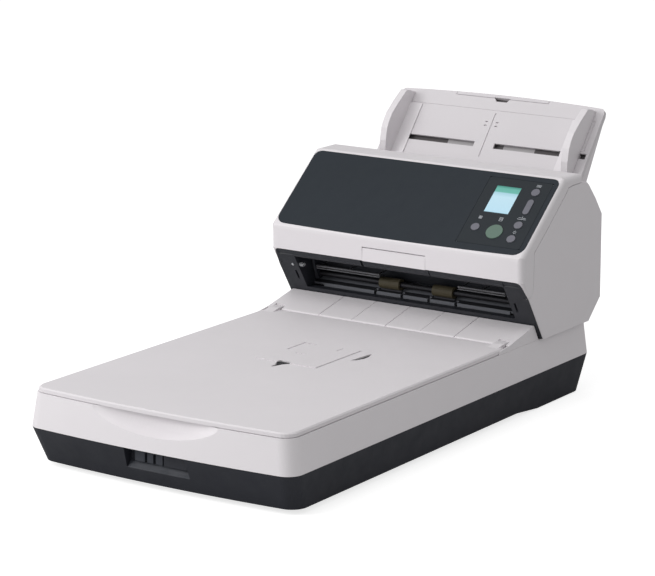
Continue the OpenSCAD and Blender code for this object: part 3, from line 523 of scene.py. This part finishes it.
def throat_lip():
    """Dark lip under the cover's lower edge, with a stiffening bead."""
    bm = bmesh.new()
    top, bend, foot, bead = 138.8, 132.6, 131.4, 134.0
    prof = [(slant(top) + 0.4, top), (slant(bend) + 0.4, bend), (slant(foot) + 1.2, foot),
            (slant(foot) + 2.6, foot), (slant(top) + 2.6, top)]
    for x0, x1 in ((-125.4, -41.6), (-38.8, 39.6), (40.8, 125.4)):
        profile_bar(bm, prof, x0, x1)
        y = slant(bead) + 0.5
        tube(bm, [(x0 + 0.4, y, bead), (x1 - 0.4, y, bead)], 0.4, 10)
    piece("throat_lip", bm, M["throat"], "cover", FLAT)


def lock_sill():
    """Wear strip on the sloping sill of the lock recess, with a raised middle."""
    bm = bmesh.new()
    out_y, out_z = -0.84, 0.55
    for x0, x1, front, back, thick in ((-33.0, 36.0, (9.6, 19.3), (13.6, 25.7), 0.25),
                                       (-32.6, 35.6, (10.4, 20.9), (12.8, 24.8), 0.5)):
        foot = [(BASE_FRONT + y, z) for y, z in (front, back)]
        face = [(y + out_y * thick, z + out_z * thick) for y, z in reversed(foot)]
        profile_bar(bm, foot + face, x0, x1)
    piece("lock_sill", bm, M["lock"], "base", FLAT)


lid_slit_shade()
lid_notch_shade()
throat_spring()
cheek_rivet()
throat_rail()
cheek_caps()
throat_lip()
lock_sill()


# ---- softened edges on the carried-over parts ----

def soften(obj, width, segments):
    """Rounds the sharp edges of a part by modifiers, without touching its mesh."""
    for p in obj.data.polygons:
        p.use_smooth = True
    bv = obj.modifiers.new("edge", "BEVEL")
    bv.width = width * MM
    bv.segments = segments
    bv.limit_method = "ANGLE"
    bv.angle_limit = math.radians(30)
    bv.harden_normals = True
    bv.use_clamp_overlap = True
    wn = obj.modifiers.new("normals", "WEIGHTED_NORMAL")
    wn.keep_sharp = True


BEVEL = {"side_cover_left": 0.9, "side_cover_right": 0.9, "rear_cover": 1.0, "front_cover": 0.8,
         "lower_case": 0.8, "upper_case": 0.5, "flatbed_lid": 0.5, "stacker_ramp": 0.3,
         "chute_board": 0.3, "chute_back": 0.5, "guide_left": 0.6, "guide_right": 0.6,
         "release_tab": 0.3, "panel_bezel": 0.3, "key_plate": 0.2, "stopper": 0.3, "adf_frame": 0.4}
SMALL_BEVEL = 0.2
PANES = USE["glass"].split()
for n, obj in NODES.items():
    if n not in PANES:
        soften(obj, BEVEL.get(n, SMALL_BEVEL), 3 if n in BEVEL else 2)


# ---- floor, light, camera ----

def plane(name, size, z):
    """Level square of side size at height z."""
    bm = bmesh.new()
    bmesh.ops.create_grid(bm, x_segments=2, y_segments=2, size=size / 2)
    me = bpy.data.meshes.new(name)
    bm.to_mesh(me)
    bm.free()
    ob = bpy.data.objects.new(name, me)
    ob.location.z = z
    bpy.context.scene.collection.objects.link(ob)
    return ob


def seen_only(nt, strength):
    """A value that is strength for what the camera sees directly and nothing for light."""
    lp = nt.nodes.new("ShaderNodeLightPath")
    mu = nt.nodes.new("ShaderNodeMath")
    mu.operation = "MULTIPLY"
    mu.inputs[1].default_value = strength
    link(nt, lp.outputs["Is Camera Ray"], mu.inputs[0])
    return mu.outputs[0]


FLOOR_GLOW = 0.74
BACKDROP = 0.6
AMBIENT = 0.505
floor = plane("floor", 30.0, -0.0002)
paper = moulded("floor_paper", srgb(206, 206, 206), 0.9, 300.0, 0.02, 0.005, 0.0)
pn = paper.node_tree
paper_shader = pn.nodes["Principled BSDF"]
paper_shader.inputs["Emission Color"].default_value = (1.0, 1.0, 1.0, 1.0)
link(pn, seen_only(pn, FLOOR_GLOW), paper_shader.inputs["Emission Strength"])
dress(floor, paper)

world = bpy.data.worlds.new("studio")
bpy.context.scene.world = world
world.use_nodes = True
wn = world.node_tree
bg = wn.nodes["Background"]
bg.inputs["Color"].default_value = (1.0, 1.0, 1.0, 1.0)
lift = wn.nodes.new("ShaderNodeMath")
lift.operation = "ADD"
lift.inputs[1].default_value = AMBIENT
link(wn, seen_only(wn, BACKDROP), lift.inputs[0])
link(wn, lift.outputs[0], bg.inputs["Strength"])


def area(name, loc, target, size, power):
    """Square soft light at loc, aimed at target."""
    li = bpy.data.lights.new(name, "AREA")
    li.energy = power
    li.size = size
    ob = bpy.data.objects.new(name, li)
    ob.location = loc
    ob.rotation_mode = "QUATERNION"
    ob.rotation_quaternion = (Vector(target) - Vector(loc)).to_track_quat("-Z", "Y")
    bpy.context.scene.collection.objects.link(ob)


area("key", (-1.55, -1.9, 1.15), (0, 0, 0.1), 1.3, 31)
area("top", (-0.3, -0.9, 2.2), (0, 0, 0.1), 1.5, 12)

CAMERA_PLACE = (1.4565, -2.2327, 0.7539)
LENS = 154.04
# degrees round the object from its front, above the floor, and about the line of sight
AZIMUTH, ELEVATION, ROLL = 33.03, 12.97, 0.507
cam_data = bpy.data.cameras.new("camera")
cam_data.sensor_fit = "HORIZONTAL"
cam_data.sensor_width = 36.0
cam_data.lens = LENS
cam = bpy.data.objects.new("camera", cam_data)
bpy.context.scene.collection.objects.link(cam)
az, el, roll = (math.radians(a) for a in (AZIMUTH, ELEVATION, ROLL))
back = Vector((math.sin(az) * math.cos(el), -math.cos(az) * math.cos(el), math.sin(el)))
right = Vector((math.cos(az), math.sin(az), 0.0))
up = back.cross(right)
rolled_right = right * math.cos(roll) + up * math.sin(roll)
rolled_up = up * math.cos(roll) - right * math.sin(roll)
rot = Matrix((rolled_right, rolled_up, back)).transposed()
cam.matrix_world = Matrix.Translation(CAMERA_PLACE) @ rot.to_4x4()
cam_data.clip_start, cam_data.clip_end = 0.1, 60.0
bpy.context.scene.camera = cam
bpy.context.scene.view_settings.view_transform = "Standard"
